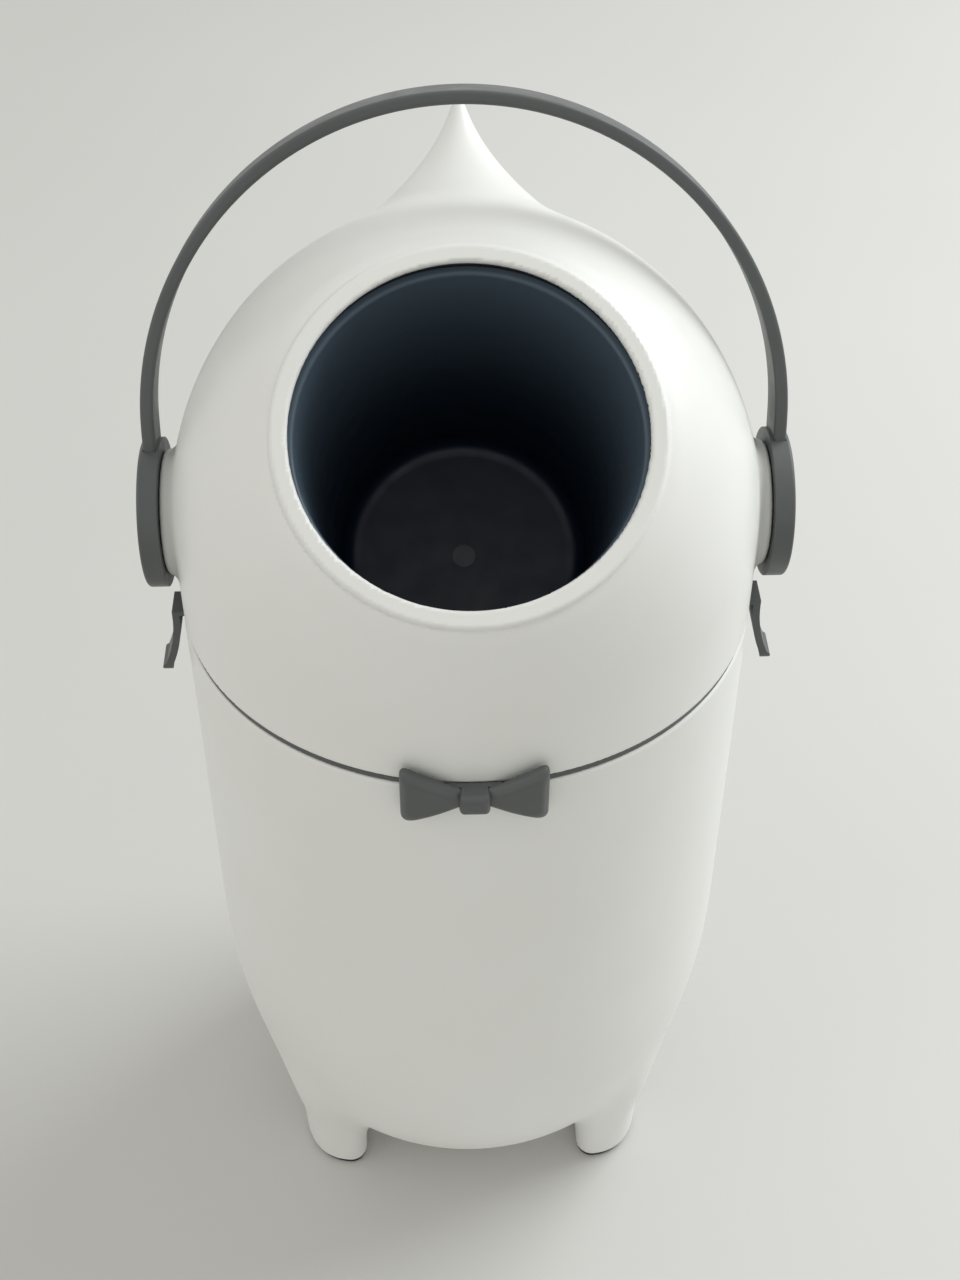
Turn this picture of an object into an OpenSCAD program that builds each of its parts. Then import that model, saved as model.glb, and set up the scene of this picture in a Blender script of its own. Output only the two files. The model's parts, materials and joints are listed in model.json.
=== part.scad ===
// Nappy bin: a round bin with a ball-shaped head. A drum with a deep cup turns inside the head
// and is worked by the arched handle and the two ear cups at its sides.
// +Z is up, the front looks along -Y, and z = 0 is the floor.

/* [Body] */
// Outer diameter of the body and the head
bin_d = 254; // [244:1:262]
// Wall of the white moulded shells
shell_wall = 3; // [2.4:0.1:3.6]
// Height of the seam between body and head
seam_z = 358; // [345:1:380]
// Height where the straight wall starts to curve in
waist_z = 168; // [150:1:180]
// Height where the gentle curve turns into the round bottom
bowl_z = 86; // [76:1:94]
// Radius of the gentle curve above the bottom
taper_r = 395; // [350:5:450]
// Height of the underside above the floor
belly_z = 15; // [12:1:20]

/* [Feet] */
// Middle of a foot, to the side of the axis
foot_x = 75; // [70:1:79]
// Middle of a foot, in front of or behind the axis
foot_y = 63; // [58:1:66]
// Width of a foot, side to side
foot_w = 34; // [30:1:38]
// Depth of a foot, front to back
foot_d = 32; // [28:1:36]
// Radius of a foot's upright edges
foot_round = 9; // [6:0.5:11]
// Greatest distance of a foot from the axis, at the floor
foot_reach = 109.5; // [106:0.5:113]
// Height of the rubber pad below the foot
pad_t = 2; // [1.5:0.1:3]
// Height of the pad's plug inside the foot
pad_plug = 5; // [3:0.5:8]

/* [Bag ring] */
// Thickness of the flange that shows in the seam
flange_t = 2.4; // [2:0.1:3]
// How far the flange stays back from the outer face of the shells
flange_set_back = 1; // [0.6:0.1:1.6]
// Wall of the ring's tube
ring_wall = 2; // [1.6:0.1:2.4]
// Gap between the ring's tube and the inside of the shells
ring_gap = 3.8; // [3.4:0.1:4.2]
// Height of the tube above the seam, inside the head
ring_up = 8; // [6:0.5:10]
// Depth of the tube below the seam, where the bag hangs
ring_down = 31; // [24:1:40]
// Radius of the bead along the lower edge, which keeps the bag on
bag_bead_r = 1.5; // [1:0.1:1.7]
// Width of a lift tab
tab_w = 14; // [10:1:20]
// Length of a lift tab below the seam
tab_l = 32; // [28:1:40]
// Middle of a lift tab, in front of the axis
tab_forward = 13; // [8:1:16]
// Thickness of a lift tab
tab_t = 3.2; // [2.6:0.1:3.8]
// How far the lower end of a lift tab stands out
tab_flare = 7; // [6:0.5:11]
// Radius of the round end of a lift tab
tab_bead_r = 2.4; // [2:0.1:2.8]

/* [Bow tie] */
// Width across both wings
bow_w = 59.5; // [54:0.5:66]
// Height of a wing at its outer edge
bow_h = 31; // [26:0.5:34]
// Height of the wings at the knot
bow_waist = 5.5; // [5:0.5:8]
// Height of the middle of the bow tie above the seam
bow_up = -2; // [-4:0.5:1]
// Thickness of the wings
bow_t = 5.6; // [5:0.1:7]
// Width of the bevel round each wing
bow_bevel = 2.2; // [1.5:0.1:2.4]
// Width of the knot
knot_w = 12.5; // [11:0.5:15]
// Height of the knot
knot_h = 10.5; // [10:0.5:14]
// How far the knot stands proud of the wings
knot_proud = 1.4; // [1:0.1:2.5]
// Width of the carrier tab behind the bow tie
carrier_w = 22; // [20:1:30]
// Height of the carrier tab
carrier_h = 10; // [9:0.5:12]
// Thickness of the carrier tab
carrier_t = 2.5; // [2:0.1:3]

/* [Head] */
// Height of the head's straight skirt, from the seam up to the pivot
skirt_h = 42; // [36:1:50]
// Height of the pointed tip above the ball
tip_h = 49.5; // [45:0.5:53]
// Width of the tip where it leaves the ball
tip_base_d = 78; // [72:1:82]
// Steepness of the tip's flank where it leaves the ball, in degrees
tip_flank = 52; // [46:1:54]
// Lean of the tip towards the back, in degrees
tip_lean = 43; // [40:1:47]
// Radius of the tip's point
tip_point_r = 2; // [1.5:0.1:3]
// Diameter of the opening
mouth_d = 140; // [132:1:146]
// Lean of the opening towards the front, in degrees
mouth_lean = 35.5; // [33:0.5:41]
// Width of the flat face round the opening
rim_land = 4; // [3.5:0.5:6]
// Thickness of the rim round the opening, whose edge is fully rounded
rim_t = 3; // [2.5:0.1:3.4]
// Radius of the boss that carries each ear cup
boss_r = 27; // [25:0.5:29]
// How far the boss stands out of the ball
boss_proud = 2.6; // [2:0.1:4]
// Height of the seal inside the skirt
seal_h = 4; // [3:0.5:5]
// Width of the seal behind the opening
mouth_seal_w = 11; // [8:0.5:14]

/* [Drum] */
// Gap between the head's inner face and the drum
drum_gap = 6; // [5.4:0.1:6.6]
// Wall of the drum
drum_wall = 2.5; // [2:0.1:3]
// Wall of the cup
cup_wall = 2.2; // [1.8:0.1:2.6]
// Radius of the cup's floor
cup_floor_r = 58; // [54:0.5:60]
// Step between the opening and the mouth of the cup
cup_step = 1.5; // [1:0.1:2.5]
// Gap between the rim and the mouth of the cup
mouth_gap = 6.2; // [5.8:0.1:7]
// Gap between the cup's lower edge and the drum's wall
floor_gap = 5; // [3:0.5:8]
// Radius of the screw head in the cup's floor
cup_screw_r = 7; // [5:0.5:8]

/* [Pivot] */
// Radius of the trunnion shafts
shaft_r = 11; // [9:0.5:12]
// Wall of the bushes
bush_wall = 2.5; // [2:0.1:3]
// Radial running clearance of a shaft in its bush
run_fit = 0.05; // [0.03:0.01:0.08]
// Angle through which the handle turns, in degrees
swing = 143; // [130:1:146]

/* [Ear cups] */
// Diameter of an ear cup
ear_d = 65; // [61:0.5:70]
// Floor of the housing
ear_floor = 1.2; // [1:0.1:1.4]
// Rim wall of the housing
ear_wall = 3; // [2:0.1:4]
// Thickness of the cap over the housing
ear_cap_t = 1.6; // [1.5:0.1:2.4]

/* [Handle] */
// Width of the handle band
handle_w = 20; // [16:0.5:24]
// Thickness of the handle band
handle_t = 5.6; // [5:0.1:6]
// Lean of the handle towards the back, in degrees
handle_lean = 18; // [14:1:22]
// Height of the handle's outer face above the pivot, along its lean
handle_top = 177; // [170:0.5:184]
// Radius of the handle's edges
handle_edge = 2; // [1.5:0.1:2.2]

/* [Fit] */
// Gap between pieces that move against each other
move_gap = 0.3; // [0.3:0.05:0.5]

/* [Hidden] */
$fn = 96;

white = [0.93, 0.93, 0.91];
grey = [0.35, 0.37, 0.38];
dark = [0.11, 0.14, 0.18];
rubber = [0.16, 0.17, 0.18];
steel = [0.70, 0.71, 0.72];

// Cutting tools reach this far past what they cut, and joined solids overlap by a hair
over = 1;
hair = 0.01;
pad_set_back = 1;
pad_fit = 0.1;
bin_r = bin_d / 2;
inner_r = bin_r - shell_wall;
pivot_z = seam_z + skirt_h;

// Body profile: a gentle arc, then the arc of the round bottom, tangent to it
taper_a = -asin((waist_z - bowl_z) / taper_r);
taper_c = [bin_r - taper_r, waist_z];
bowl_r = (bowl_z - belly_z) / (1 + sin(taper_a));
knee = [taper_c.x + taper_r * cos(taper_a), bowl_z];
bowl_c = knee - bowl_r * [cos(taper_a), sin(taper_a)];
body_top = seam_z - flange_t / 2 - move_gap;
head_bottom = seam_z + flange_t / 2 + move_gap;

// Bag ring
flange_r = bin_r - flange_set_back;
tube_r = inner_r - ring_gap;
tab_x = bin_r + 2 * move_gap;
tab_root = 3;

// Seals, set back from the edge that they follow
seal_set_back = 2;
seal_gap = move_gap + 0.1;

// Bow tie, with its screw's head in a recess under the knot
carrier_r = bin_r + 0.5;
bow_r = carrier_r + carrier_t;
bow_front = bow_r + bow_t;
knot_front = bow_front + knot_proud;
bow_z = seam_z + bow_up;
bow_corner = 2;
bow_bulge = 0.6;
knot_round = 1;
bow_screw_r = 1.3;
bow_head_r = 2.4;
bow_head_gap = 0.2;
bow_head_t = 1.4;
bow_seat = 2;
bow_recess_over = 0.3;
bow_screw_in = carrier_r + 0.6;

// The origin is the middle of the space that the bin stands in, bow tie included
axis_y = (knot_front - bin_r) / 2;

// Tip: its flank is one arc, from the ball to the point
tip_base_a = asin(tip_base_d / 2 / bin_r);
tip_base = bin_r * [sin(tip_base_a), cos(tip_base_a)];
tip_end = [tip_point_r, bin_r + tip_h - tip_point_r];
tip_chord_a = atan2(tip_end.y - tip_base.y, tip_base.x - tip_end.x);
tip_end_a = 2 * tip_chord_a - tip_flank;
tip_arc_r = (tip_base.x - tip_end.x) / (sin(tip_end_a) - sin(tip_flank));
tip_c = tip_base + tip_arc_r * [sin(tip_flank), cos(tip_flank)];

// The tip reaches this far into the ball
tip_root = 8;

// Opening and drum, along the axis of the opening
mouth_r = mouth_d / 2;
rim_top = sqrt(pow(bin_r, 2) - pow(mouth_r + rim_land, 2));
rim_low = rim_top - rim_t;
rim_edge = mouth_r + rim_t / 2;
rim_cut = mouth_r + rim_land / 2;
rim_out = (sqrt(pow(inner_r, 2) - pow(rim_low, 2)) + mouth_r + rim_land) / 2;
drum_r = inner_r - drum_gap;
drum_ri = drum_r - drum_wall;
cup_top = rim_low - mouth_gap;
cup_lip = cup_top - drum_wall;
cup_mouth_r = mouth_r - cup_step;
cup_base = -sqrt(pow(drum_ri - floor_gap, 2) - pow(cup_floor_r + cup_wall, 2));
cup_floor = cup_base + drum_wall;

// Screws of the drum: four join its halves, one holds the cup's floor on a post
drum_screw_at = drum_r - 14;
drum_boss_r = 7;
drum_screw_r = 1.8;
drum_head_r = 3.6;
drum_head_t = 2.5;
drum_head_gap = 0.4;
drum_seat = 12;
cup_pin_r = 2.2;
cup_pin_l = 16;
cup_head_t = 2.5;
cup_head_taper = 1.5;
cup_post_r = 8;

// Pivot, along X
bush_r = shaft_r + run_fit + bush_wall;
bush_flange_w = 3.5;
bush_flange_r = bush_r + bush_flange_w;
bush_flange_t = 1.5;
bush_gap = 1;
bush_in = drum_r + bush_gap;
boss_face = bin_r + boss_proud;
hub_wall = 4;
collar_set_in = 12;
collar_x = drum_r - collar_set_in;
collar_t = 4;
collar_w = 4;
collar_r = shaft_r + collar_w;
drum_hub_r = collar_r + hub_wall;
drum_hub_x = collar_x - hub_wall;
ear_in = boss_face + move_gap;
ear_t = ear_floor + handle_t;
ear_out = ear_in + ear_t;
cap_out = ear_out + ear_cap_t;
ear_r = ear_d / 2;
hub_r = shaft_r + hub_wall;
shaft_set_back = 0.5;
shaft_end = ear_out - shaft_set_back;
flat_depth = 2.5;
flat_at = shaft_r - flat_depth;
hub_screw_r = 2;
hub_screw_l = 17;
hub_head_r = 6;
hub_head_t = 1;
hub_head_gap = 1;
cap_edge = 1.4;
cap_dish_r = ear_r - 12.5;
cap_dish_t = 0.3;

// Stop: a lug on each ear cup runs in an arc groove of the boss
stop_r = 21.5;
stop_w = 4;
lug_h = 2.4;
groove_depth = lug_h + 2 * move_gap;
lug_a = 16;
stop_slack = 1;

// Handle
handle_x = ear_in + ear_floor + handle_t / 2;
handle_leg = handle_top - handle_t / 2 - handle_x;
leg_foot = hub_r + 0.5;
leg_screw_r = 1.4;
leg_head_r = 2.8;
leg_head_t = 1.5;
leg_screw_in = 4;
leg_screw_step = 7;
leg_screw_at = [for (i = [0, 1]) leg_foot + leg_screw_in + i * leg_screw_step];
leg_screw_x = ear_in + 0.4;

// Points of an arc round c
function arc(c, r, a0, a1, n = 12) =
    [for (i = [0:n]) c + r * [cos(a0 + (a1 - a0) * i / n), sin(a0 + (a1 - a0) * i / n)]];

// Outline of the body, a distance in from its outer face, up to the height top
function body_outline(inset, top) = concat(
    [[0, belly_z + inset]],
    arc(bowl_c, bowl_r - inset, -90, taper_a, 16),
    [for (i = [1:10]) arc(taper_c, taper_r - inset, taper_a, 0, 10)[i]],
    [[bin_r - inset, top], [0, top]]);

// Half outline of the tip, a distance in from its outer face, up to the angle a1 of its arc
function tip_arc(inset, a1, n = 14) =
    [for (i = [0:n]) let (a = tip_flank + (a1 - tip_flank) * i / n)
        tip_c - (tip_arc_r + inset) * [sin(a), cos(a)]];

module on_axis() translate([0, axis_y, 0]) children();
module at_pivot() on_axis() translate([0, 0, pivot_z]) children();
module along_mouth() at_pivot() rotate([mouth_lean, 0, 0]) children();
module along_handle() at_pivot() rotate([-handle_lean, 0, 0]) children();
module along_tip() at_pivot() rotate([-tip_lean, 0, 0]) children();

// Cylinder along X from x0 to x1
module rod(x0, x1, r) translate([x0, 0, 0]) rotate([0, 90, 0]) cylinder(r = r, h = x1 - x0);

// The same on the right, or mirrored on the left
module on_side(right) mirror([right ? 0 : 1, 0, 0]) children();

module tube(r_out, r_in, z0, z1) translate([0, 0, z0]) difference() {
    cylinder(r = r_out, h = z1 - z0);
    translate([0, 0, -over]) cylinder(r = r_in, h = z1 - z0 + 2 * over);
}

module rounded_rect(w, d, r) {
    square([w, d - 2 * r], center = true);
    square([w - 2 * r, d], center = true);
    for (x = [-1, 1], y = [-1, 1]) translate([x * (w / 2 - r), y * (d / 2 - r)]) circle(r = r);
}

// Four feet, a distance in from their outer faces, between two heights
module feet(inset, z0, z1) intersection() {
    for (x = [-1, 1], y = [-1, 1]) translate([x * foot_x, y * foot_y, z0])
        linear_extrude(z1 - z0)
            rounded_rect(foot_w - 2 * inset, foot_d - 2 * inset, foot_round - inset);
    cylinder(r1 = foot_reach - inset, r2 = knee.x - inset, h = bowl_z);
}

module body_solid(inset, top) rotate_extrude() polygon(body_outline(inset, top));

// Body: one white moulding with a round bottom and four hollow feet
module body_shell() on_axis() color(white) difference() {
    union() {
        body_solid(0, body_top);
        feet(0, pad_t, bowl_z);
    }
    body_solid(shell_wall, body_top + over);
    difference() {
        feet(shell_wall, 0, bowl_z - shell_wall);
        body_solid(0, body_top);
    }
}

// Four rubber pads, each with a plug that fills the mouth of its foot
module foot_pads() on_axis() color(rubber) {
    feet(pad_set_back, 0, pad_t);
    feet(shell_wall + pad_fit, pad_t, pad_t + pad_plug);
}

// Side profile of a lift tab: it leaves the seam upright and curves outwards
module tab_profile() {
    lean = 2 * atan(tab_flare / tab_l);
    curve_r = tab_l / sin(lean);
    c = [tab_x + curve_r, seam_z - flange_t / 2];
    polygon(concat(arc(c, curve_r, 180, 180 + lean, 10), arc(c, curve_r - tab_t, 180 + lean, 180, 10)));
    translate([flange_r - tab_root, seam_z - flange_t / 2])
        square([tab_x - flange_r + tab_root + tab_t, flange_t]);
    translate(c + (curve_r - tab_t / 2) * [cos(180 + lean), sin(180 + lean)]) circle(r = tab_bead_r);
}

module lift_tab() translate([0, -tab_forward, 0]) intersection() {
    rotate([90, 0, 0]) linear_extrude(tab_w, center = true) tab_profile();
    translate([0, 0, seam_z + flange_t]) rotate([0, 90, 0]) linear_extrude(2 * bin_r)
        translate([tab_l / 2, 0]) rounded_rect(tab_l + 4 * tab_bead_r + flange_t, tab_w, tab_w / 3);
}

// Curved plate in front of the shells, with its middle at the height z
module front_plate(r_in, r_out, w, h, z) intersection() {
    tube(r_out, r_in, z - h / 2, z + h / 2);
    translate([-w / 2, -r_out - over, z - h / 2]) cube([w, r_out, h]);
}

// Bag ring: its flange shows in the seam, with a lift tab at each side and a tab for the bow tie
module bag_ring() on_axis() color(grey) difference() {
    union() {
        tube(flange_r, tube_r - ring_wall, seam_z - flange_t / 2, seam_z + flange_t / 2);
        tube(tube_r, tube_r - ring_wall, seam_z - ring_down, seam_z + ring_up);
        translate([0, 0, seam_z - ring_down]) rotate_extrude()
            translate([tube_r - bag_bead_r / 2, 0]) circle(r = bag_bead_r);
        for (right = [false, true]) on_side(right) lift_tab();
        front_plate(flange_r - over, carrier_r + carrier_t / 2, carrier_w, flange_t, seam_z);
        front_plate(carrier_r, bow_r, carrier_w, carrier_h, bow_z);
    }
    bow_hole();
}

module bow_rod(y0, y1, r) translate([0, -y0, bow_z]) rotate([90, 0, 0]) cylinder(r = r, h = y1 - y0);
module bow_hole() bow_rod(bow_screw_in, bow_front + over, bow_screw_r);
module bow_recess() bow_rod(bow_front - bow_seat, bow_front + bow_recess_over, bow_head_r + bow_head_gap);

// Outline of the two wings, a distance in from the edge
module bow_outline(inset) {
    w = bow_w / 2 - inset;
    h = bow_h / 2 - inset;
    waist = bow_waist / 2 - inset;
    right = [[w - bow_corner, h], [w, h - bow_corner], [w + bow_bulge, 0], [w, bow_corner - h],
        [w - bow_corner, -h]];
    left = [for (i = [len(right) - 1:-1:0]) [-right[i].x, right[i].y]];
    polygon(concat([[0, waist]], right, [[0, -waist]], left));
}

module bow_layer(inset, r_out) intersection() {
    tube(r_out, bow_r, bow_z - bow_h, bow_z + bow_h);
    translate([0, 0, bow_z]) rotate([90, 0, 0]) linear_extrude(2 * bin_r) bow_outline(inset);
}

// Wings: three layers step in towards the front and make the bevel
module wings() {
    bow_layer(0, bow_front - bow_bevel);
    bow_layer(bow_bevel * 0.3, bow_front - bow_bevel * 0.3);
    bow_layer(bow_bevel, bow_front);
}

module bow_wings() on_axis() color(grey) difference() {
    wings();
    bow_hole();
    bow_recess();
}

// Knot: a loop round the waist of the wings
module bow_knot() on_axis() color(grey) difference() {
    intersection() {
        tube(knot_front, bow_r, bow_z - knot_h, bow_z + knot_h);
        translate([0, 0, bow_z]) rotate([90, 0, 0]) linear_extrude(2 * bin_r)
            rounded_rect(knot_w, knot_h, knot_round);
    }
    wings();
    bow_recess();
}

module bow_screw() on_axis() color(steel) {
    bow_rod(bow_front - bow_seat, bow_front - bow_seat + bow_head_t, bow_head_r);
    bow_rod(bow_screw_in, bow_front - bow_seat, bow_screw_r);
}

module tip_solid(inset, a1) rotate_extrude() {
    points = tip_arc(inset, a1);
    polygon(concat([[0, points[0].y - tip_root], [points[0].x, points[0].y - tip_root]], points,
        [[0, points[len(points) - 1].y]]));
}

// Rim of the opening: a flat ring with a rounded inner edge
module rim() rotate_extrude() {
    translate([rim_edge, rim_low]) square([rim_out - rim_edge, rim_t]);
    translate([rim_edge, rim_low + rim_t / 2]) circle(r = rim_t / 2, $fn = 32);
}

// Head: a ball on a short skirt, with the pointed tip, the opening and the two ear bosses
module head_shell() color(white) difference() {
    union() {
        difference() {
            union() {
                at_pivot() sphere(r = bin_r);
                on_axis() translate([0, 0, head_bottom]) cylinder(r = bin_r, h = pivot_z - head_bottom);
                along_tip() {
                    tip_solid(0, tip_end_a);
                    translate([0, 0, tip_end.y]) sphere(r = tip_point_r, $fn = 32);
                }
                at_pivot() rod(-boss_face, boss_face, boss_r);
            }
            at_pivot() sphere(r = inner_r);
            on_axis() translate([0, 0, head_bottom - bin_r]) cylinder(r = bin_r + over, h = bin_r);
            on_axis() translate([0, 0, head_bottom - over])
                cylinder(r = inner_r, h = pivot_z - head_bottom + over);
            along_tip() tip_solid(shell_wall, asin(tip_c.x / (tip_arc_r + shell_wall)));
            along_mouth() translate([0, 0, rim_top]) cylinder(r = bin_r, h = bin_r);
            along_mouth() cylinder(r = rim_cut, h = bin_r);
        }
        along_mouth() rim();
        for (right = [false, true]) at_pivot() on_side(right) difference() {
            rod(bush_in + bush_flange_t, inner_r + shell_wall / 2, bush_flange_r);
            sphere(r = bush_in);
        }
    }
    at_pivot() rod(-boss_face - over, boss_face + over, bush_r);
    at_pivot() for (right = [false, true]) on_side(right) stop_groove();
}

// Arc from the angle a0 to a1 round X, measured from +Y towards +Z
module sector(x0, x1, r0, r1, a0, a1) rotate([a0, 0, 0]) rotate([90, 0, 90])
    translate([0, 0, x0]) rotate_extrude(angle = a1 - a0) translate([r0, 0]) square([r1 - r0, x1 - x0]);

lug_mid = 90 - handle_lean - 180;
module stop_groove() sector(boss_face - groove_depth, boss_face + over,
    stop_r - stop_w / 2 - move_gap, stop_r + stop_w / 2 + move_gap,
    lug_mid - lug_a / 2 - stop_slack, lug_mid + swing + lug_a / 2 + stop_slack);

module stop_lug() sector(ear_in - lug_h, ear_in + ear_floor / 2,
    stop_r - stop_w / 2, stop_r + stop_w / 2, lug_mid - lug_a / 2, lug_mid + lug_a / 2);

// Seal between the head and the drum, round the opening
module mouth_seal() along_mouth() color(rubber) intersection() {
    difference() {
        sphere(r = inner_r);
        sphere(r = drum_r + seal_gap);
    }
    tube(mouth_r + seal_set_back + mouth_seal_w, mouth_r + seal_set_back, 0, rim_low);
}

// Seal between the skirt and the tube of the bag ring
module skirt_seal() on_axis() color(rubber) {
    z0 = head_bottom + seal_set_back;
    tube(inner_r, tube_r + seal_gap, z0, z0 + seal_h);
}

module bush(right) at_pivot() on_side(right) color(grey) difference() {
    union() {
        rod(bush_in, boss_face, bush_r);
        rod(bush_in, bush_in + bush_flange_t, bush_flange_r);
    }
    rod(bush_in - over, boss_face + over, shaft_r + run_fit);
}
module bush_left() bush(false);
module bush_right() bush(true);

// Cup: a deep tapered cup whose flange closes the front of the drum
module cup_cone(extra, z0) translate([0, 0, z0])
    cylinder(r1 = cup_floor_r + extra, r2 = cup_mouth_r + extra, h = cup_top - z0);

module drum_cup() along_mouth() color(dark) difference() {
    union() {
        cup_cone(cup_wall, cup_base);
        intersection() {
            sphere(r = drum_r);
            translate([0, 0, cup_lip]) cylinder(r = drum_r, h = cup_top - cup_lip);
        }
    }
    translate([0, 0, cup_floor])
        cylinder(r1 = cup_floor_r, r2 = cup_mouth_r, h = cup_top - cup_floor + hair);
    translate([0, 0, cup_base - over]) cylinder(r = cup_pin_r, h = 3 * drum_wall);
}

module cup_screw() along_mouth() color(dark) {
    translate([0, 0, cup_floor])
        cylinder(r1 = cup_screw_r, r2 = cup_screw_r - cup_head_taper, h = cup_head_t);
    translate([0, 0, cup_floor - cup_pin_l]) cylinder(r = cup_pin_r, h = cup_pin_l + over);
}

// The trunnion's own shape: shaft, collar and two flats for the ear cup
module trunnion_solid() difference() {
    union() {
        rod(drum_hub_x, shaft_end, shaft_r);
        rod(collar_x, collar_x + collar_t, collar_r);
    }
    rotate([-handle_lean, 0, 0]) for (y = [flat_at, -flat_at - shaft_r])
        translate([ear_in, y, -shaft_r - over]) cube([ear_t, shaft_r, 2 * (shaft_r + over)]);
}

module shaft_flats() rotate([-handle_lean, 0, 0]) intersection() {
    rod(ear_in - hair, shaft_end, shaft_r);
    translate([ear_in - over, -flat_at, -shaft_r]) cube([ear_t + over, 2 * flat_at, 2 * shaft_r]);
}

module trunnion(right) at_pivot() on_side(right) color(steel) difference() {
    trunnion_solid();
    rod(shaft_end - hub_screw_l, shaft_end + over, hub_screw_r);
}
module trunnion_left() trunnion(false);
module trunnion_right() trunnion(true);

// Hubs inside the drum that hold the trunnions; they end inside the drum's wall
module drum_hubs() for (right = [false, true]) on_side(right)
    rod(drum_hub_x, sqrt(pow(drum_r, 2) - pow(drum_hub_r, 2)) - drum_wall / 8, drum_hub_r);

module drum_screw_places() for (a = [45:90:315]) rotate([0, 0, a])
    translate([drum_screw_at, 0, 0]) children();

// Ball of the drum with its hubs and screw pillars, before it is parted
module drum_ball() difference() {
    union() {
        difference() {
            sphere(r = drum_r);
            sphere(r = drum_ri);
        }
        drum_hubs();
        intersection() {
            sphere(r = drum_r - drum_wall / 2);
            drum_screw_places() translate([0, 0, -drum_r]) cylinder(r = drum_boss_r, h = 2 * drum_r);
        }
    }
    for (right = [false, true]) on_side(right) {
        rod(drum_hub_x - over, drum_r + over, shaft_r);
        rod(collar_x, collar_x + collar_t, collar_r);
    }
    drum_screw_places() translate([0, 0, -drum_seat]) cylinder(r = drum_screw_r, h = 2 * drum_seat);
}

// Front half of the drum, open for the cup
module drum_front() along_mouth() color(dark) difference() {
    drum_ball();
    translate([0, 0, -drum_r - over]) cylinder(r = drum_r + over, h = drum_r + over);
    translate([0, 0, cup_lip]) cylinder(r = drum_r, h = drum_r);
    cup_cone(cup_wall, cup_base);
}

// Back half of the drum, which closes the opening while the cup is tipped out
module drum_back() along_mouth() color(dark) difference() {
    union() {
        drum_ball();
        translate([0, 0, -drum_ri - drum_wall / 2])
            cylinder(r = cup_post_r, h = drum_ri + drum_wall / 2 + cup_base);
    }
    cylinder(r = drum_r + over, h = drum_r + over);
    drum_screw_places() translate([0, 0, -drum_r])
        cylinder(r = drum_head_r + drum_head_gap, h = drum_r - drum_seat);
    translate([0, 0, cup_floor - cup_pin_l]) cylinder(r = cup_pin_r, h = cup_pin_l);
}

module drum_screws() along_mouth() color(steel) drum_screw_places() {
    translate([0, 0, -drum_seat - drum_head_t]) cylinder(r = drum_head_r, h = drum_head_t);
    translate([0, 0, -drum_seat]) cylinder(r = drum_screw_r, h = 2 * drum_seat);
}

// Ear cup: a dish with a hub for the trunnion and a slot for the handle's leg
module ear_cup(right) at_pivot() on_side(right) color(grey) difference() {
    union() {
        difference() {
            rod(ear_in, ear_out, ear_r);
            rod(ear_in + ear_floor, ear_out + over, ear_r - ear_wall);
        }
        rod(ear_in, ear_out, hub_r);
        stop_lug();
    }
    shaft_flats();
    rod(shaft_end - over, ear_out + over, hub_head_r);
    rotate([-handle_lean, 0, 0]) {
        translate([ear_in + ear_floor, -handle_w / 2, leg_foot]) cube([ear_t, handle_w, ear_r]);
        for (l = leg_screw_at) translate([0, 0, l]) rod(leg_screw_x, ear_out, leg_screw_r);
    }
}
module ear_cup_left() ear_cup(false);
module ear_cup_right() ear_cup(true);

module ear_cap(right) at_pivot() on_side(right) color(grey) difference() {
    rotate([0, 90, 0]) rotate_extrude() polygon(concat(
        [[0, ear_out], [ear_r, ear_out]],
        arc([ear_r - cap_edge, cap_out - cap_edge], cap_edge, 0, 90, 8),
        [[cap_dish_r + cap_dish_t, cap_out], [cap_dish_r, cap_out - cap_dish_t],
            [0, cap_out - cap_dish_t]]));
    rod(ear_out - over, shaft_end + hub_head_t + shaft_set_back / 2, hub_head_r + hub_head_gap);
}
module ear_cap_left() ear_cap(false);
module ear_cap_right() ear_cap(true);

module hub_screw(right) at_pivot() on_side(right) color(steel) {
    rod(shaft_end, shaft_end + hub_head_t, hub_head_r);
    rod(shaft_end - hub_screw_l, shaft_end, hub_screw_r);
}
module hub_screw_left() hub_screw(false);
module hub_screw_right() hub_screw(true);

// Handle: a flat band with rounded edges, bent to an arch with two straight legs
module handle_section() rounded_rect(handle_t, handle_w, handle_edge);

module handle_bow() along_handle() color(grey) difference() {
    union() {
        translate([0, 0, handle_leg]) rotate([90, 0, 0]) rotate_extrude(angle = 180)
            translate([handle_x, 0]) handle_section();
        for (x = [-1, 1]) translate([x * handle_x, 0, leg_foot])
            linear_extrude(handle_leg - leg_foot) handle_section();
    }
    leg_screws();
}

module leg_screws() for (right = [false, true], l = leg_screw_at) on_side(right)
    translate([0, 0, l]) {
        rod(leg_screw_x, ear_out, leg_screw_r);
        rod(ear_out - leg_head_t, ear_out, leg_head_r);
    }

module handle_screws() along_handle() color(steel) leg_screws();

body_shell();
foot_pads();
bag_ring();
bow_wings();
bow_knot();
bow_screw();
head_shell();
mouth_seal();
skirt_seal();
bush_left();
bush_right();
drum_front();
drum_back();
drum_screws();
drum_cup();
cup_screw();
trunnion_left();
trunnion_right();
ear_cup_left();
ear_cup_right();
hub_screw_left();
hub_screw_right();
handle_bow();
handle_screws();
ear_cap_left();
ear_cap_right();
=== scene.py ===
import itertools
import json
import math

import bpy
import numpy as np
from mathutils import Matrix, Vector

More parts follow.
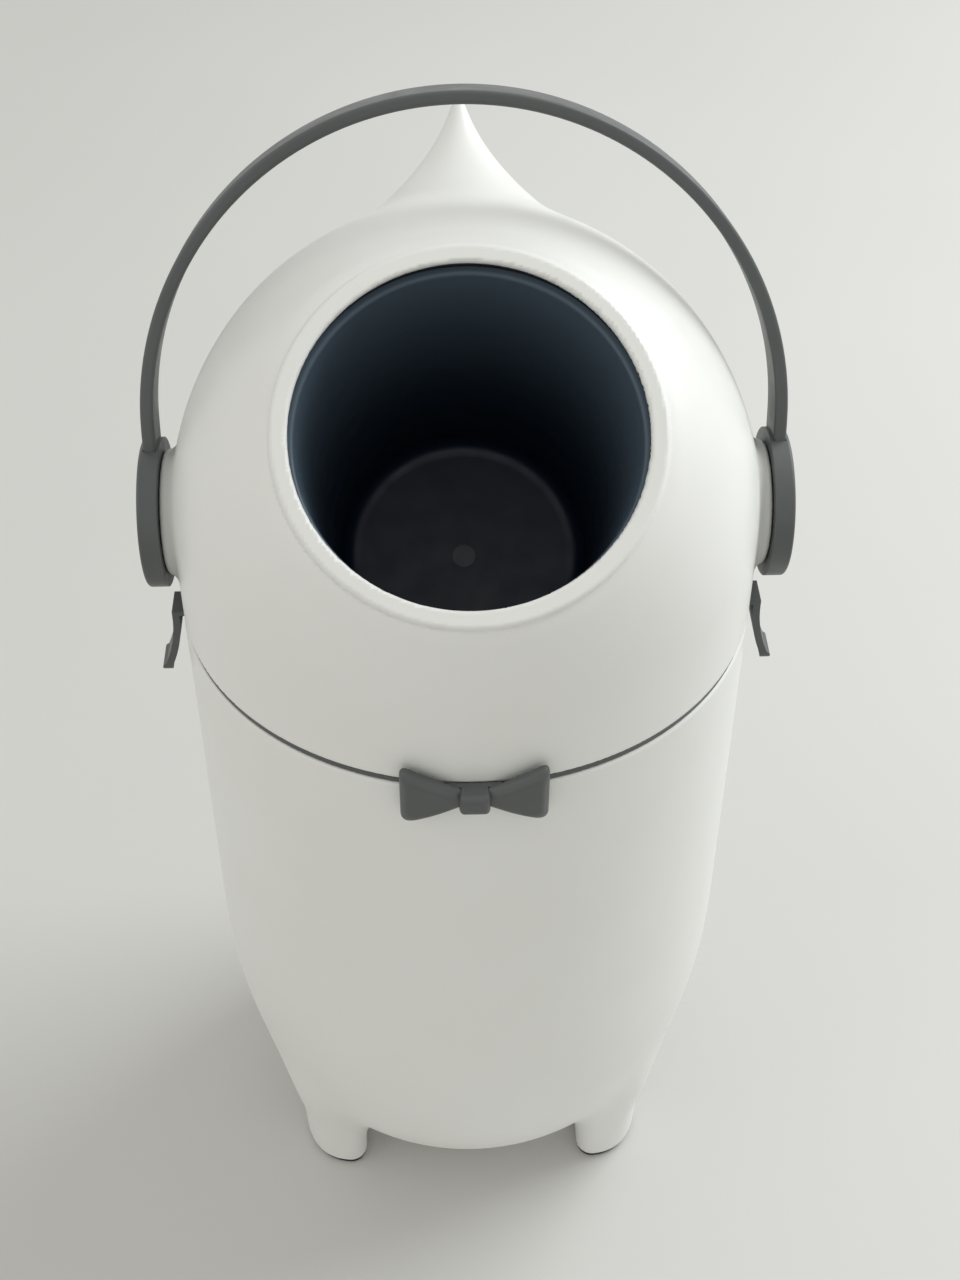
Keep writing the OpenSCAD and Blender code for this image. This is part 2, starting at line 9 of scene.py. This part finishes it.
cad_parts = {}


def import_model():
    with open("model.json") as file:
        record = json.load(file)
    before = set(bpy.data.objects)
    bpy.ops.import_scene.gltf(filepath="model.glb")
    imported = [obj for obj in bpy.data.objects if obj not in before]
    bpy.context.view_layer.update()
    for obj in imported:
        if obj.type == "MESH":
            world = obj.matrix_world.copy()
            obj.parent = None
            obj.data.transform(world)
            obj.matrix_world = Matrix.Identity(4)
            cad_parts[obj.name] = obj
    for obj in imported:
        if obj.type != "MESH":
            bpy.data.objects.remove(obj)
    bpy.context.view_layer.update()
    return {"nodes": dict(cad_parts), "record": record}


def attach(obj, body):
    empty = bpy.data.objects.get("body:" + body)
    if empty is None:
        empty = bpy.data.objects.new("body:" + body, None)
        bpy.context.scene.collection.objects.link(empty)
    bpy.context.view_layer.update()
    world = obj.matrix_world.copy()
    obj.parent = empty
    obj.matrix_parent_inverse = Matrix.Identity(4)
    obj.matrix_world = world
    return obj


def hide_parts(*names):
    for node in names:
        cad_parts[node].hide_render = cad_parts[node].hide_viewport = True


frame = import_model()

MM = 0.001
scene = bpy.context.scene

# Sizes in millimetres, from the bin's upright axis and the floor
AXIS_Y = 5.0            # place of the axis, in front-back direction
BIN_R = 127.0
WALL = 3.0
SEAM_Z = 358.0
PIVOT_Z = 400.0
SEAM_GAP = 1.5          # from the seam's middle to the edge of either shell
SHELL_EDGE = 2.0        # rounding of the shells' edges

WAIST_Z, BOWL_Z, BELLY_Z, TAPER_R = 168.0, 86.0, 15.0, 395.0
FOOT_X, FOOT_Y, FOOT_W, FOOT_D, FOOT_ROUND = 75.0, 63.0, 34.0, 32.0, 9.0
FOOT_REACH, FOOT_TOP_REACH, FOOT_SIDE = 109.5, 118.4, 8.0   # cone that the feet keep within, its soft edge
FOOT_FILLET, FOOT_FADE, FOOT_SOLE = 22.0, 40.0, 3.0         # softness to the body, at the top and at the sole
PAD_T, PAD_SET_BACK, PAD_EDGE = 2.0, 1.0, 0.8

BALL_SWELL, BALL_RISE = 3.8, 80.0       # the ball is fuller towards the tip, fully so from this height
TIP_LEAN, TIP_TOP, TIP_ROOT, TIP_POINT, TIP_FILLET = math.radians(43), 176.5, 105.0, 2.0, 4.0
TIP_END, TIP_SLOPE, TIP_FLARE = 2.6, 0.30, 0.0085     # radius, slope and flare of the concave flank
MOUTH_LEAN, MOUTH_R, LAND_EDGE = math.radians(35.5), 69.4, 7.0
RIM_TOP, RIM_T, RIM_FILLET = 103.2, 3.0, 1.5
BOSS_R, BOSS_X, BOSS_FILLET, BUSH_R, BUSH_RIM_R, BUSH_RIM_X = 27.0, 129.6, 5.0, 13.55, 17.05, 3.5
GROOVE_R, GROOVE_W, GROOVE_DEPTH = 21.5, 4.6, 3.0
GROOVE_ZERO, GROOVE_MIDDLE, GROOVE_HALF = math.radians(108), math.radians(71.5), math.radians(80.5)

CUP_TOP, CUP_BASE, CUP_FLOOR_R, CUP_WALL, CUP_FLOOR_T, DRUM_R = 94.0, -90.2, 58.0, 2.2, 2.5, 118.0
CUP_STEP, CUP_LIP, CUP_FLOOR_ROUND, CUP_BASE_ROUND = 1.5, 2.0, 9.0, 2.0

HANDLE_LEAN, HANDLE_X, HANDLE_T, HANDLE_W = math.radians(18), 133.9, 5.6, 20.0
HANDLE_LEG, HANDLE_FOOT, HANDLE_EDGE = 40.3, 15.5, 2.0

BOW_Z, BOW_R, BOW_T, BOW_W, BOW_H, BOW_WAIST, BOW_PINCH = SEAM_Z - 2, 130.0, 5.6, 59.5, 31.0, 4.5, 2.0
BOW_END, BOW_CORNER, BOW_BEVEL, BOW_EDGE = 0.3, 5.0, 2.6, 1.0
KNOT_W, KNOT_H, KNOT_PROUD, KNOT_CORNER, KNOT_ROUND, KNOT_FIT = 12.5, 10.5, 1.4, 2.0, 3.5, 0.05

FINE_GRAIN = 0.000003   # bump of the dark plastic, in metres
# painted light and shade: the cup's wall is painted dark deep inside and pale at its mouth, between these
# heights
PAINTED_LIGHT_FROM, PAINTED_LIGHT_TO = -50.0, 85.0        # the cup's wall gets paler between these heights over the pivot


# Materials

def new_material(name):
    mat = bpy.data.materials.new(name)
    mat.use_nodes = True
    nodes, links = mat.node_tree.nodes, mat.node_tree.links
    return mat, nodes, links, nodes["Principled BSDF"]


def noise(nodes, links, coord, scale, detail=2.0, rough=0.5):
    tex = nodes.new("ShaderNodeTexNoise")
    tex.inputs["Scale"].default_value = scale
    tex.inputs["Detail"].default_value = detail
    tex.inputs["Roughness"].default_value = rough
    links.new(coord, tex.inputs["Vector"])
    return tex.outputs["Fac"]


def to_range(nodes, links, value, low, high, from_low=0.3, from_high=0.7):
    m = nodes.new("ShaderNodeMapRange")
    m.inputs["From Min"].default_value = from_low
    m.inputs["From Max"].default_value = from_high
    m.inputs["To Min"].default_value = low
    m.inputs["To Max"].default_value = high
    links.new(value, m.inputs["Value"])
    return m.outputs["Result"]


def mix_colour(nodes, links, fac, a, b):
    m = nodes.new("ShaderNodeMix")
    m.data_type = "RGBA"
    for name, colour in (("A", a), ("B", b)):
        if isinstance(colour, tuple):
            m.inputs[name].default_value = (*colour, 1)
        else:
            links.new(colour, m.inputs[name])
    links.new(fac, m.inputs["Factor"])
    return m.outputs["Result"]


def plastic(name, colours, roughness, grain=1800, grain_height=0.00002, blotch=14, specular=0.5):
    """Moulded plastic: slight clouds in colour and gloss, and the fine grain of the mould."""
    mat, nodes, links, shader = new_material(name)
    coord = nodes.new("ShaderNodeTexCoord").outputs["Object"]
    clouds = noise(nodes, links, coord, blotch, 3)
    links.new(mix_colour(nodes, links, to_range(nodes, links, clouds, 0, 1), *colours),
              shader.inputs["Base Color"])
    gloss = noise(nodes, links, coord, blotch * 6, 4)
    links.new(to_range(nodes, links, gloss, *roughness), shader.inputs["Roughness"])
    bump = nodes.new("ShaderNodeBump")
    bump.inputs["Strength"].default_value = 1.0
    bump.inputs["Distance"].default_value = grain_height
    links.new(noise(nodes, links, coord, grain, 2), bump.inputs["Height"])
    links.new(bump.outputs["Normal"], shader.inputs["Normal"])
    shader.inputs["Specular IOR Level"].default_value = specular
    return mat


MATERIALS = {
    "white_shell": plastic("white_shell", ((0.865, 0.865, 0.84), (0.89, 0.89, 0.87)), (0.34, 0.46)),
    "grey_plastic": plastic("grey_plastic", ((0.083, 0.089, 0.090), (0.096, 0.102, 0.103)), (0.38, 0.52)),
    "dark_plastic": plastic("dark_plastic", ((0.009, 0.019, 0.036), (0.012, 0.023, 0.041)), (0.3, 0.4),
                            grain_height=FINE_GRAIN),
    "cup": plastic("cup", ((0.007, 0.018, 0.036), (0.010, 0.022, 0.042)), (0.32, 0.42),
                   grain_height=FINE_GRAIN, specular=0.3),
    "rubber": plastic("rubber", ((0.024, 0.024, 0.025), (0.034, 0.034, 0.035)), (0.7, 0.85), grain=900),
    "steel": plastic("steel", ((0.5, 0.5, 0.5), (0.56, 0.56, 0.55)), (0.25, 0.4)),
}
MATERIALS["steel"].node_tree.nodes["Principled BSDF"].inputs["Metallic"].default_value = 1.0


def paint_cup_light_and_shade(mat, painted_light_colour=(0.085, 0.118, 0.155)):
    """Paints light and shade into the cup's wall: paler towards its mouth as painted light, darker deep
    inside as painted shade.
    """
    nodes, links = mat.node_tree.nodes, mat.node_tree.links
    colour = nodes["Principled BSDF"].inputs["Base Color"]
    depth = nodes.new("ShaderNodeVectorMath")
    depth.operation = "DOT_PRODUCT"
    depth.inputs[1].default_value = (0, -math.sin(MOUTH_LEAN), math.cos(MOUTH_LEAN))
    links.new(nodes.new("ShaderNodeTexCoord").outputs["Object"], depth.inputs[0])
    pivot = PIVOT_Z * math.cos(MOUTH_LEAN) - AXIS_Y * math.sin(MOUTH_LEAN)
    low, high = (pivot + PAINTED_LIGHT_FROM) * MM, (pivot + PAINTED_LIGHT_TO) * MM
    # painted light: a paler colour is mixed in towards the mouth, and the darker base colour stays deeper
    # down as painted shade
    painted_light_mask = to_range(nodes, links, depth.outputs["Value"], 0, 1, low, high)
    links.new(mix_colour(nodes, links, painted_light_mask, colour.links[0].from_socket, painted_light_colour), colour)


# paints light and shade into the cup's wall
paint_cup_light_and_shade(MATERIALS["cup"])

SLOT_OF = {s["node"]: s["material_slot"] for s in frame["record"]["subparts"]}
for name, obj in frame["nodes"].items():
    obj.data.materials.clear()
    obj.data.materials.append(MATERIALS[SLOT_OF[name]])


# Shapes as signed distances: below 0 is inside

OUTSIDE = 50.0      # a distance that is clear of every surface


def smooth_min(a, b, k):
    """The lower of two distances, with a fillet of about the radius k where they meet."""
    h = np.clip(0.5 + 0.5 * (b - a) / k, 0, 1)
    return b + (a - b) * h - k * h * (1 - h)


def smooth_max(a, b, k):
    return -smooth_min(-a, -b, k)


def body_profile(x, y, z, inset=0.0):
    """Body of revolution: a wall, the gentle arc below it, the round bottom and its flat middle."""
    lean = -math.asin((WAIST_Z - BOWL_Z) / TAPER_R)
    taper_x = BIN_R - TAPER_R
    bowl_r = (BOWL_Z - BELLY_Z) / (1 + math.sin(lean))
    bowl_x = taper_x + (TAPER_R - bowl_r) * math.cos(lean)
    bowl_z = WAIST_Z + (TAPER_R - bowl_r) * math.sin(lean)
    r = np.hypot(x, y)
    wall = r - BIN_R
    taper = np.hypot(r - taper_x, z - WAIST_Z) - TAPER_R
    bowl = np.where(r > bowl_x, np.hypot(r - bowl_x, z - bowl_z) - bowl_r, BELLY_Z - z)
    on_taper = np.arctan2(z - WAIST_Z, r - taper_x) > lean
    return np.where(z > WAIST_Z, wall, np.where(on_taper, taper, bowl)) + inset


def rounded_column(x, y, width, depth, radius):
    qx, qy = np.abs(x) - width / 2 + radius, np.abs(y) - depth / 2 + radius
    return np.hypot(np.maximum(qx, 0), np.maximum(qy, 0)) + np.minimum(np.maximum(qx, qy), 0) - radius


def foot_column(x, y, z, inset=0.0):
    """All four feet, which lean against a cone so that they keep within the body's outline."""
    side = rounded_column(np.abs(x) - FOOT_X, np.abs(y) - FOOT_Y, FOOT_W, FOOT_D, FOOT_ROUND)
    reach = FOOT_REACH + (FOOT_TOP_REACH - FOOT_REACH) * z / BOWL_Z
    return smooth_max(side, np.hypot(x, y) - reach, FOOT_SIDE) + inset


def body_shell(x, y, z):
    foot = smooth_max(foot_column(x, y, z), PAD_T - z, FOOT_SOLE)
    foot = smooth_max(foot, z - BOWL_Z, FOOT_FADE)
    outer = smooth_min(body_profile(x, y, z), foot, FOOT_FILLET)
    wall = smooth_max(outer, -body_profile(x, y, z, WALL), 1)
    return smooth_max(wall, z - (SEAM_Z - SEAM_GAP), SHELL_EDGE)


def foot_pads(x, y, z):
    return smooth_max(foot_column(x, y, z, PAD_SET_BACK), np.abs(z - PAD_T / 2) - PAD_T / 2, PAD_EDGE)


def along(x, y, z, lean):
    """Distance along an axis through the pivot that leans back, and away from that axis."""
    h = y * math.sin(lean) + (z - PIVOT_Z) * math.cos(lean)
    w = y * math.cos(lean) - (z - PIVOT_Z) * math.sin(lean)
    return h, np.hypot(x, w)


def ball(x, y, z, radius):
    """Upright wall below the pivot, and above it a ball that swells a little towards the tip."""
    up, h = np.maximum(z - PIVOT_Z, 0), along(x, y, z, TIP_LEAN)[0]
    swell = BALL_SWELL * np.clip(h / BIN_R, 0, 1) ** 2 * np.clip(up / BALL_RISE, 0, 1)
    return np.sqrt(x ** 2 + y ** 2 + up ** 2) - radius - swell


def tip(x, y, z):
    """Pointed tip with a concave flank, down to a root inside the ball."""
    h, r = along(x, y, z, TIP_LEAN)
    s = np.clip(TIP_TOP - h, 0, TIP_TOP - TIP_ROOT)
    slope = TIP_SLOPE + 2 * TIP_FLARE * s
    flank = (r - TIP_END - TIP_SLOPE * s - TIP_FLARE * s ** 2) / np.hypot(1, slope)
    return np.maximum(smooth_max(flank, h - TIP_TOP, TIP_POINT), TIP_ROOT - h)


def head_shell(x, y, z):
    side, hub = np.abs(x), np.hypot(y, z - PIVOT_Z)
    boss = smooth_max(hub - BOSS_R, side - BOSS_X, SHELL_EDGE)
    outer = smooth_min(ball(x, y, z, BIN_R), tip(x, y, z), TIP_FILLET)
    outer = smooth_min(outer, boss, BOSS_FILLET)
    hollow = np.minimum(ball(x, y, z, BIN_R - WALL), tip(x, y, z) + WALL)

    # The opening: a flat land, a round hole and a rounded rim at its edge
    h, r = along(x, y, z, -MOUTH_LEAN)
    outer = smooth_max(outer, h - RIM_TOP, LAND_EDGE)
    hollow = smooth_max(hollow, h - RIM_TOP + WALL, LAND_EDGE)
    shell = np.maximum(outer, -hollow)
    shell = np.where(h > 0, np.maximum(shell, MOUTH_R + RIM_T / 2 - r), shell)
    across = r - np.clip(r, MOUTH_R + RIM_T / 2, MOUTH_R + 2 * RIM_T)
    shell = smooth_min(shell, np.hypot(across, h - RIM_TOP + RIM_T / 2) - RIM_T / 2, RIM_FILLET)

    # The bosses: a bore for the bush, and the arc groove that the ear cup's lug runs in
    inner_boss = np.maximum(hub - BUSH_RIM_R, np.abs(side - BIN_R + WALL) - BUSH_RIM_X)
    shell = np.maximum(np.minimum(shell, inner_boss), BUSH_R - hub)
    swing = np.arctan2(z - PIVOT_Z, y) + GROOVE_ZERO
    swing = np.abs((swing + math.pi) % (2 * math.pi) - math.pi - GROOVE_MIDDLE) - GROOVE_HALF
    groove = np.maximum(np.abs(hub - GROOVE_R) - GROOVE_W / 2, BOSS_X - GROOVE_DEPTH - side)
    shell = np.maximum(shell, -np.maximum(groove, swing * GROOVE_R))
    return smooth_max(shell, SEAM_Z + SEAM_GAP - z, SHELL_EDGE)


def bow_layer(x, y, z):
    """Height above the bow tie's seat, and distance from the outline of both wings."""
    t = np.hypot(x, y) - BOW_R
    side = np.abs(x)
    slope = (BOW_H - BOW_WAIST) / BOW_W
    edge = (np.abs(z - BOW_Z) - BOW_WAIST / 2 - slope * side) / math.hypot(1, slope)
    outline = smooth_max(edge, side - BOW_W / 2 - BOW_END, BOW_CORNER)
    return t, outline


def bow_wings(x, y, z):
    t, outline = bow_layer(x, y, z)
    top = BOW_T - BOW_PINCH * np.exp(-(x / KNOT_W) ** 2)
    bevel = (outline + t - top + BOW_BEVEL) / math.sqrt(2)
    wings = smooth_max(smooth_max(outline, t - top, BOW_EDGE), bevel, BOW_EDGE)
    return np.where(y < 0, np.maximum(wings, -t), OUTSIDE)


def bow_knot(x, y, z):
    t = bow_layer(x, y, z)[0]
    side = rounded_column(x, z - BOW_Z, KNOT_W, KNOT_H, KNOT_CORNER)
    knot = np.maximum(smooth_max(side, t - BOW_T - KNOT_PROUD, KNOT_ROUND), -t)
    return np.where(y < 0, np.maximum(knot, KNOT_FIT - bow_wings(x, y, z)), OUTSIDE)


def net(distance, low, high, step):
    """Closed mesh of the surface where a distance is 0, with one point in each grid cell that it crosses."""
    axes = [np.arange(a - step, b + 2 * step, step) for a, b in zip(low, high)]
    y, z = np.meshgrid(axes[1], axes[2], indexing="ij")
    inside = np.stack([distance(np.full_like(y, x), y, z) < 0 for x in axes[0]])
    cells = [n - 1 for n in inside.shape]
    count = sum(inside[i:i + cells[0], j:j + cells[1], k:k + cells[2]].astype(np.int8)
                for i, j, k in itertools.product((0, 1), repeat=3))
    crossed = (count > 0) & (count < 8)
    number = np.full(cells, -1)
    number[crossed] = np.arange(crossed.sum())
    points = np.stack([axis[i] for axis, i in zip(axes, np.nonzero(crossed))], 1) + step / 2
    quads = []
    for d in range(3):
        ins, num = np.moveaxis(inside, d, 0), np.moveaxis(number, d, 0)
        i, j, k = np.nonzero(ins[1:, 1:-1, 1:-1] != ins[:-1, 1:-1, 1:-1])
        quad = np.stack([num[i, j, k], num[i, j + 1, k], num[i, j + 1, k + 1], num[i, j, k + 1]], 1)
        flipped = ins[i + 1, j + 1, k + 1] ^ (d == 1)
        quad[flipped] = quad[flipped, ::-1]
        quads.append(quad)
    quads = np.concatenate(quads)
    edges = np.concatenate([quads[:, [a, (a + 1) % 4]] for a in range(4)])
    for relax in (0, 0.5, 0.5, 0.3, 0, 0):
        if relax:
            total, number_of = np.zeros_like(points), np.zeros(len(points))
            for a, b in ((0, 1), (1, 0)):
                np.add.at(total, edges[:, a], points[edges[:, b]])
                np.add.at(number_of, edges[:, a], 1)
            points = points + relax * (total / number_of[:, None] - points)
        points = points - slope_of(distance, points, step / 20)[1]
    return points, quads, slope_of(distance, points, step / 20)[0]


def slope_of(distance, points, e):
    """Unit normals of a distance, and the steps that lead onto its surface."""
    gradient = np.stack([(distance(*(points + e * axis).T) - distance(*(points - e * axis).T)) / (2 * e)
                         for axis in np.eye(3)], 1)
    length = np.maximum(np.linalg.norm(gradient, axis=1, keepdims=True), 0.2)
    return gradient / length, gradient / length ** 2 * distance(*points.T)[:, None]


# Shapes as profiles

def rounded(corners, steps=5):
    """Outline through corners (a, b, radius), each rounded by its radius."""
    out = []
    for n, (a, b, radius) in enumerate(corners):
        here = np.array((a, b), float)
        if not radius:
            out.append(here)
            continue
        before, after = (np.array(corners[(n + k) % len(corners)][:2], float) - here for k in (-1, 1))
        before, after = before / np.linalg.norm(before), after / np.linalg.norm(after)
        half = math.acos(float(before @ after)) / 2
        reach = radius / math.tan(half)
        for k in range(steps + 1):
            s = k / steps
            out.append(here + reach * (before * (1 - s) ** 2 + after * s ** 2))
    return np.array(out)


def lathe(profile, steps=128):
    """Turns an outline (radius, height), which starts and ends on the axis, about that axis."""
    inner = profile[1:-1]
    turn = np.linspace(0, 2 * math.pi, steps, endpoint=False)
    ring = np.stack([np.cos(turn), np.sin(turn)], 1)
    points = [(0, 0, profile[0][1])]
    for r, h in inner:
        points += [(r * c, r * s, h) for c, s in ring]
    points.append((0, 0, profile[-1][1]))
    faces = []
    for n in range(steps):
        m = (n + 1) % steps
        faces.append((0, 1 + n, 1 + m))
        for row in range(len(inner) - 1):
            a, b = 1 + row * steps, 1 + (row + 1) * steps
            faces.append((a + n, b + n, b + m, a + m))
        last = 1 + (len(inner) - 1) * steps
        faces.append((last + n, len(points) - 1, last + m))
    return np.array(points), faces


def drum_cup():
    """Deep tapered cup with a rounded floor, along the axis of the opening."""
    mouth = MOUTH_R - CUP_STEP
    cone = (mouth - CUP_FLOOR_R) / (CUP_TOP - CUP_BASE)
    lip = CUP_TOP - CUP_FLOOR_T
    profile = rounded([
        (0, CUP_BASE + CUP_FLOOR_T, 0),
        (CUP_FLOOR_R, CUP_BASE + CUP_FLOOR_T, CUP_FLOOR_ROUND),
        (mouth, CUP_TOP, CUP_LIP),
        (math.sqrt(DRUM_R ** 2 - CUP_TOP ** 2), CUP_TOP, 0),
        (math.sqrt(DRUM_R ** 2 - lip ** 2), lip, 0),
        (CUP_FLOOR_R + CUP_WALL + cone * (lip - CUP_BASE), lip, 0),
        (CUP_FLOOR_R + CUP_WALL, CUP_BASE, CUP_BASE_ROUND),
        (0, CUP_BASE, 0)])
    points, faces = lathe(profile)
    return turned(points, -MOUTH_LEAN), faces


def turned(points, lean):
    """Points given about an upright axis, leant back about the pivot."""
    x, y, z = points.T
    return np.stack([x, y * math.cos(lean) + z * math.sin(lean),
                     z * math.cos(lean) - y * math.sin(lean) + PIVOT_Z], 1)


def handle_bow():
    """Flat band with rounded edges, swept up one leg, round the arch and down the other leg."""
    t, w = HANDLE_T / 2, HANDLE_W / 2
    section = rounded([(a, b, HANDLE_EDGE) for a, b in ((-t, -w), (t, -w), (t, w), (-t, w))])
    stops = [(HANDLE_X, h, 0) for h in np.linspace(HANDLE_FOOT, HANDLE_LEG, 6)[:-1]]
    stops += [(HANDLE_X, HANDLE_LEG, a) for a in np.linspace(0, math.pi, 97)]
    stops += [(HANDLE_X, h, math.pi) for h in np.linspace(HANDLE_LEG, HANDLE_FOOT, 6)[1:]]
    points = []
    for radius, h, a in stops:
        points += [((radius + out) * math.cos(a), across, h + (radius + out) * math.sin(a))
                   for out, across in section]
    n = len(section)
    faces = [(row * n + k, row * n + (k + 1) % n, (row + 1) * n + (k + 1) % n, (row + 1) * n + k)
             for row in range(len(stops) - 1) for k in range(n)]
    faces += [tuple(range(n))[::-1], tuple(range(len(points) - n, len(points)))]
    return turned(np.array(points), HANDLE_LEAN), faces


BODY_OF = {node: body for body, nodes in frame["record"]["behaviour"]["bodies"].items() for node in nodes}


def piece(node, points, faces, normals=None):
    """A new piece that stands for a CAD node, with that node's finish and body."""
    mesh = bpy.data.meshes.new(node + "_form")
    mesh.from_pydata(((points + (0, AXIS_Y, 0)) * MM).tolist(), [], [tuple(int(i) for i in f) for f in faces])
    mesh.polygons.foreach_set("use_smooth", [True] * len(mesh.polygons))
    if normals is None:
        mesh.set_sharp_from_angle(angle=math.radians(35))
    else:
        mesh.normals_split_custom_set_from_vertices(normals.tolist())
    mesh.materials.append(MATERIALS["cup" if node == "drum_cup" else SLOT_OF[node]])
    obj = bpy.data.objects.new(node + "_form", mesh)
    scene.collection.objects.link(obj)
    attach(obj, BODY_OF[node])
    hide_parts(node)


# For each node its shape, the corners of a box round it, and the step of the grid
FORMS = {
    "body_shell": (body_shell, (-BIN_R, -BIN_R, 0), (BIN_R, BIN_R, SEAM_Z), 1.5),
    "foot_pads": (foot_pads, (-95, -82, 0), (95, 82, PAD_T), 0.9),
    "head_shell": (head_shell, (-BOSS_X, -BIN_R, SEAM_Z), (BOSS_X, BIN_R, PIVOT_Z + 133), 1.5),
    "bow_wings": (bow_wings, (-31, -137, BOW_Z - 17), (31, -124, BOW_Z + 17), 0.5),
    "bow_knot": (bow_knot, (-8, -139, BOW_Z - 8), (8, -128, BOW_Z + 8), 0.4),
}
for name, (distance, low, high, step) in FORMS.items():
    piece(name, *net(distance, low, high, step))
piece("drum_cup", *drum_cup())
piece("handle_bow", *handle_bow())


# Floor, camera and light

IMAGE_H = 1280      # height of the photo, in pixels


def floor():
    bpy.ops.mesh.primitive_plane_add(size=12)
    obj = bpy.context.object
    obj.name = "floor"
    mat, nodes, links, shader = new_material("floor")
    coord = nodes.new("ShaderNodeTexCoord").outputs["Object"]
    clouds = noise(nodes, links, coord, 1.5, 3)
    links.new(mix_colour(nodes, links, to_range(nodes, links, clouds, 0, 1),
                         (0.635, 0.63, 0.61), (0.665, 0.66, 0.64)), shader.inputs["Base Color"])
    shader.inputs["Roughness"].default_value = 0.5
    obj.data.materials.append(mat)


def camera():
    pitch, yaw, roll, focal = (math.radians(42.91), math.radians(1.875), math.radians(-0.15), 1820)
    forward = Vector((math.sin(yaw) * math.cos(pitch), math.cos(yaw) * math.cos(pitch), -math.sin(pitch)))
    right = Vector((math.cos(yaw), -math.sin(yaw), 0))
    down = forward.cross(right)
    r = right * math.cos(roll) + down * math.sin(roll)
    d = down * math.cos(roll) - right * math.sin(roll)
    place = (-14.12, AXIS_Y - 621.14, PIVOT_Z + 497.95)
    data = bpy.data.cameras.new("camera")
    data.sensor_width = 36
    data.lens = focal / IMAGE_H * data.sensor_width
    data.clip_start, data.clip_end = 0.01, 50
    obj = bpy.data.objects.new("camera", data)
    obj.matrix_world = Matrix((
        (r.x, -d.x, -forward.x, place[0] * MM),
        (r.y, -d.y, -forward.y, place[1] * MM),
        (r.z, -d.z, -forward.z, place[2] * MM),
        (0, 0, 0, 1)))
    scene.collection.objects.link(obj)
    scene.camera = obj


def area_light(name, place, target, size, power, colour=(1, 1, 1)):
    data = bpy.data.lights.new(name, "AREA")
    data.shape = "RECTANGLE"
    data.size, data.size_y = size
    data.energy = power
    data.color = colour
    obj = bpy.data.objects.new(name, data)
    obj.location = place
    obj.rotation_mode = "QUATERNION"
    obj.rotation_quaternion = (Vector(target) - Vector(place)).to_track_quat("-Z", "Y")
    scene.collection.objects.link(obj)


def world():
    """Even light all round; the camera, gloss and glass see a pale backdrop in its place."""
    w = bpy.data.worlds.new("world")
    scene.world = w
    w.use_nodes = True
    nodes, links = w.node_tree.nodes, w.node_tree.links
    light, shown = nodes["Background"], nodes.new("ShaderNodeBackground")
    light.inputs["Color"].default_value = (1.0, 0.995, 0.95, 1)
    light.inputs["Strength"].default_value = 0.58
    shown.inputs["Color"].default_value = (0.95, 0.95, 0.94, 1)
    shown.inputs["Strength"].default_value = 1.0
    path = nodes.new("ShaderNodeLightPath").outputs
    seen = path["Is Camera Ray"]
    for kind in ("Is Glossy Ray", "Is Transmission Ray"):
        either = nodes.new("ShaderNodeMath")
        either.operation = "MAXIMUM"
        links.new(seen, either.inputs[0])
        links.new(path[kind], either.inputs[1])
        seen = either.outputs[0]
    mixed = nodes.new("ShaderNodeMixShader")
    links.new(seen, mixed.inputs[0])
    links.new(light.outputs[0], mixed.inputs[1])
    links.new(shown.outputs[0], mixed.inputs[2])
    links.new(mixed.outputs[0], nodes["World Output"].inputs["Surface"])


floor()
camera()
world()
area_light("window", (1.6, 0.9, 1.7), (0, 0, 0.35), (1.6, 1.6), 38, (0.95, 0.99, 1))
area_light("fill", (-1.7, -0.6, 1.5), (0, 0, 0.3), (1.5, 1.5), 5, (1, 1, 0.96))

scene.view_settings.view_transform = "Standard"
